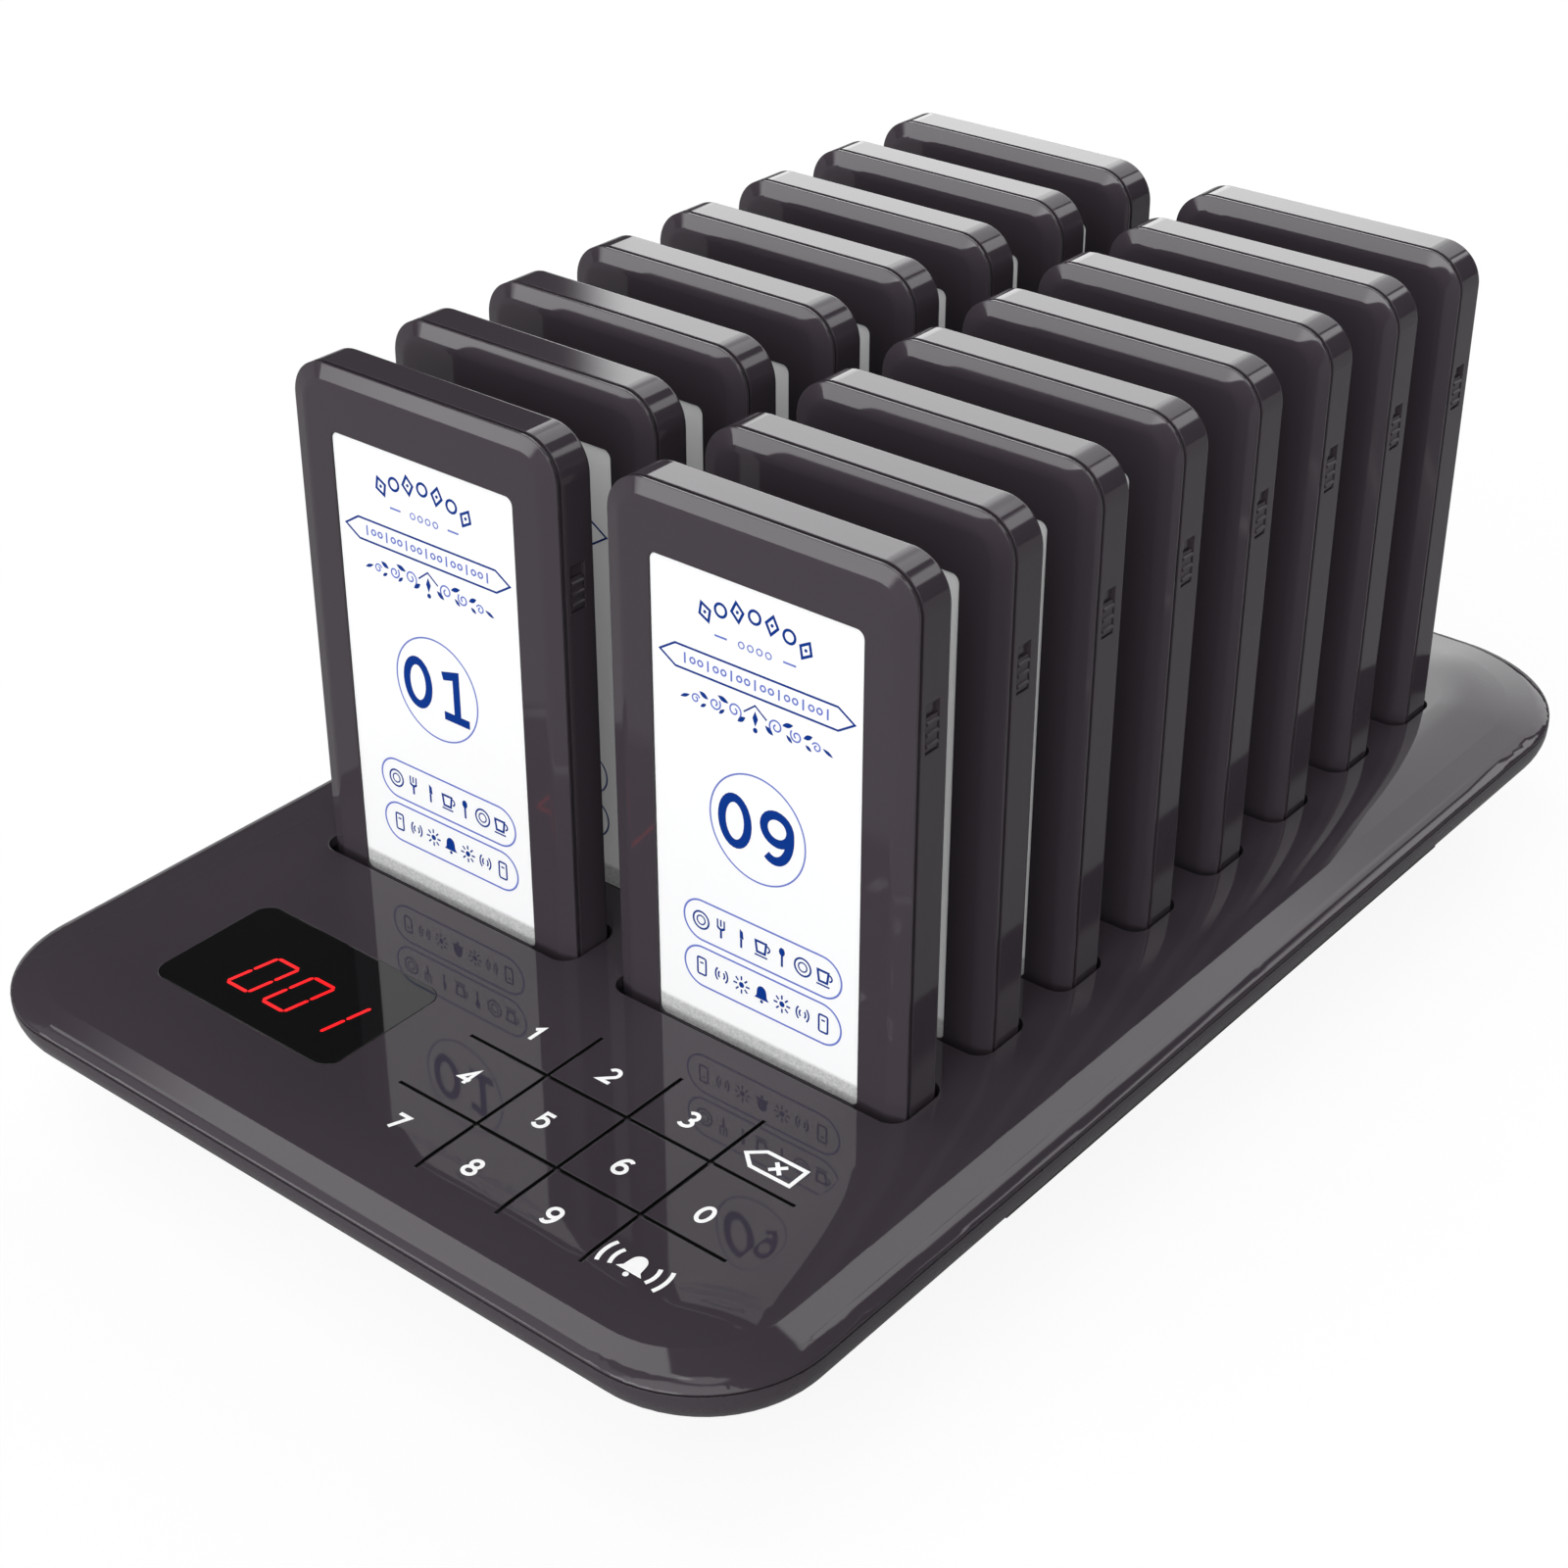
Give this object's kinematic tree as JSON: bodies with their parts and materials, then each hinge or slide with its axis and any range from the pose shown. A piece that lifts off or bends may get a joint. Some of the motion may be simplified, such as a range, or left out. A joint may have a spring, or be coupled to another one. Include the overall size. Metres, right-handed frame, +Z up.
{
  "type": "guest pager system",
  "caption": "Flat charging base with a touch keypad and a digit display, and upright guest pagers with lit front panels standing in two columns of slots.",
  "frame": {"origin": "centre of the base's footprint at the underside of its rubber feet", "axes": "+Z up, +X along the keypad's rows to the user's right, +Y to the back of the base"},
  "size_m": [0.1756, 0.28, 0.128],
  "materials": {
    "gloss_body": "gloss",
    "matte_body": "satin",
    "matte_black": "matte",
    "window_black": "gloss",
    "digit_red": "matte",
    "board_green": "satin",
    "spring_metal": "satin",
    "contact_gold": "satin",
    "rubber_black": "matte",
    "screw_steel": "satin",
    "pager_body": "gloss",
    "screen_white": "satin",
    "switch_grey": "satin"
  },
  "bodies": {
    "base": {"top_cover": "gloss_body", "bottom_case": "matte_body", "pager_cradles": "matte_black", "display_window": "window_black", "digit_display": "digit_red", "control_board": "board_green", "touch_pads": "spring_metal", "charging_boards": "board_green", "charging_pins": "contact_gold", "rubber_feet": "rubber_black", "case_screws": "screw_steel", "power_inlet": "matte_black"},
    "pager_01": {"pager_01_housing": "pager_body", "pager_01_screen": "screen_white"},
    "switch_01": {"pager_01_switch": "switch_grey"},
    "pager_02": {"pager_02_housing": "pager_body", "pager_02_screen": "screen_white"},
    "switch_02": {"pager_02_switch": "switch_grey"},
    "pager_03": {"pager_03_housing": "pager_body", "pager_03_screen": "screen_white"},
    "switch_03": {"pager_03_switch": "switch_grey"},
    "pager_04": {"pager_04_housing": "pager_body", "pager_04_screen": "screen_white"},
    "switch_04": {"pager_04_switch": "switch_grey"},
    "pager_05": {"pager_05_housing": "pager_body", "pager_05_screen": "screen_white"},
    "switch_05": {"pager_05_switch": "switch_grey"},
    "pager_06": {"pager_06_housing": "pager_body", "pager_06_screen": "screen_white"},
    "switch_06": {"pager_06_switch": "switch_grey"},
    "pager_07": {"pager_07_housing": "pager_body", "pager_07_screen": "screen_white"},
    "switch_07": {"pager_07_switch": "switch_grey"},
    "pager_08": {"pager_08_housing": "pager_body", "pager_08_screen": "screen_white"},
    "switch_08": {"pager_08_switch": "switch_grey"},
    "pager_09": {"pager_09_housing": "pager_body", "pager_09_screen": "screen_white"},
    "switch_09": {"pager_09_switch": "switch_grey"},
    "pager_10": {"pager_10_housing": "pager_body", "pager_10_screen": "screen_white"},
    "switch_10": {"pager_10_switch": "switch_grey"},
    "pager_11": {"pager_11_housing": "pager_body", "pager_11_screen": "screen_white"},
    "switch_11": {"pager_11_switch": "switch_grey"},
    "pager_12": {"pager_12_housing": "pager_body", "pager_12_screen": "screen_white"},
    "switch_12": {"pager_12_switch": "switch_grey"},
    "pager_13": {"pager_13_housing": "pager_body", "pager_13_screen": "screen_white"},
    "switch_13": {"pager_13_switch": "switch_grey"},
    "pager_14": {"pager_14_housing": "pager_body", "pager_14_screen": "screen_white"},
    "switch_14": {"pager_14_switch": "switch_grey"},
    "pager_15": {"pager_15_housing": "pager_body", "pager_15_screen": "screen_white"},
    "switch_15": {"pager_15_switch": "switch_grey"},
    "pager_16": {"pager_16_housing": "pager_body", "pager_16_screen": "screen_white"},
    "switch_16": {"pager_16_switch": "switch_grey"}
  },
  "joints": [
    {"name": "pager_01_lift", "type": "slide", "parent": "base", "child": "pager_01", "axis": [0, 0, 1], "range_m": [0, 0.125]},
    {"name": "switch_01_slide", "type": "slide", "parent": "pager_01", "child": "switch_01", "axis": [0, 0, 1], "range_m": [0, 0.002]},
    {"name": "pager_02_lift", "type": "slide", "parent": "base", "child": "pager_02", "axis": [0, 0, 1], "range_m": [0, 0.125]},
    {"name": "switch_02_slide", "type": "slide", "parent": "pager_02", "child": "switch_02", "axis": [0, 0, 1], "range_m": [0, 0.002]},
    {"name": "pager_03_lift", "type": "slide", "parent": "base", "child": "pager_03", "axis": [0, 0, 1], "range_m": [0, 0.125]},
    {"name": "switch_03_slide", "type": "slide", "parent": "pager_03", "child": "switch_03", "axis": [0, 0, 1], "range_m": [0, 0.002]},
    {"name": "pager_04_lift", "type": "slide", "parent": "base", "child": "pager_04", "axis": [0, 0, 1], "range_m": [0, 0.125]},
    {"name": "switch_04_slide", "type": "slide", "parent": "pager_04", "child": "switch_04", "axis": [0, 0, 1], "range_m": [0, 0.002]},
    {"name": "pager_05_lift", "type": "slide", "parent": "base", "child": "pager_05", "axis": [0, 0, 1], "range_m": [0, 0.125]},
    {"name": "switch_05_slide", "type": "slide", "parent": "pager_05", "child": "switch_05", "axis": [0, 0, 1], "range_m": [0, 0.002]},
    {"name": "pager_06_lift", "type": "slide", "parent": "base", "child": "pager_06", "axis": [0, 0, 1], "range_m": [0, 0.125]},
    {"name": "switch_06_slide", "type": "slide", "parent": "pager_06", "child": "switch_06", "axis": [0, 0, 1], "range_m": [0, 0.002]},
    {"name": "pager_07_lift", "type": "slide", "parent": "base", "child": "pager_07", "axis": [0, 0, 1], "range_m": [0, 0.125]},
    {"name": "switch_07_slide", "type": "slide", "parent": "pager_07", "child": "switch_07", "axis": [0, 0, 1], "range_m": [0, 0.002]},
    {"name": "pager_08_lift", "type": "slide", "parent": "base", "child": "pager_08", "axis": [0, 0, 1], "range_m": [0, 0.125]},
    {"name": "switch_08_slide", "type": "slide", "parent": "pager_08", "child": "switch_08", "axis": [0, 0, 1], "range_m": [0, 0.002]},
    {"name": "pager_09_lift", "type": "slide", "parent": "base", "child": "pager_09", "axis": [0, 0, 1], "range_m": [0, 0.125]},
    {"name": "switch_09_slide", "type": "slide", "parent": "pager_09", "child": "switch_09", "axis": [0, 0, 1], "range_m": [0, 0.002]},
    {"name": "pager_10_lift", "type": "slide", "parent": "base", "child": "pager_10", "axis": [0, 0, 1], "range_m": [0, 0.125]},
    {"name": "switch_10_slide", "type": "slide", "parent": "pager_10", "child": "switch_10", "axis": [0, 0, 1], "range_m": [0, 0.002]},
    {"name": "pager_11_lift", "type": "slide", "parent": "base", "child": "pager_11", "axis": [0, 0, 1], "range_m": [0, 0.125]},
    {"name": "switch_11_slide", "type": "slide", "parent": "pager_11", "child": "switch_11", "axis": [0, 0, 1], "range_m": [0, 0.002]},
    {"name": "pager_12_lift", "type": "slide", "parent": "base", "child": "pager_12", "axis": [0, 0, 1], "range_m": [0, 0.125]},
    {"name": "switch_12_slide", "type": "slide", "parent": "pager_12", "child": "switch_12", "axis": [0, 0, 1], "range_m": [0, 0.002]},
    {"name": "pager_13_lift", "type": "slide", "parent": "base", "child": "pager_13", "axis": [0, 0, 1], "range_m": [0, 0.125]},
    {"name": "switch_13_slide", "type": "slide", "parent": "pager_13", "child": "switch_13", "axis": [0, 0, 1], "range_m": [0, 0.002]},
    {"name": "pager_14_lift", "type": "slide", "parent": "base", "child": "pager_14", "axis": [0, 0, 1], "range_m": [0, 0.125]},
    {"name": "switch_14_slide", "type": "slide", "parent": "pager_14", "child": "switch_14", "axis": [0, 0, 1], "range_m": [0, 0.002]},
    {"name": "pager_15_lift", "type": "slide", "parent": "base", "child": "pager_15", "axis": [0, 0, 1], "range_m": [0, 0.125]},
    {"name": "switch_15_slide", "type": "slide", "parent": "pager_15", "child": "switch_15", "axis": [0, 0, 1], "range_m": [0, 0.002]},
    {"name": "pager_16_lift", "type": "slide", "parent": "base", "child": "pager_16", "axis": [0, 0, 1], "range_m": [0, 0.125]},
    {"name": "switch_16_slide", "type": "slide", "parent": "pager_16", "child": "switch_16", "axis": [0, 0, 1], "range_m": [0, 0.002]}
  ]
}
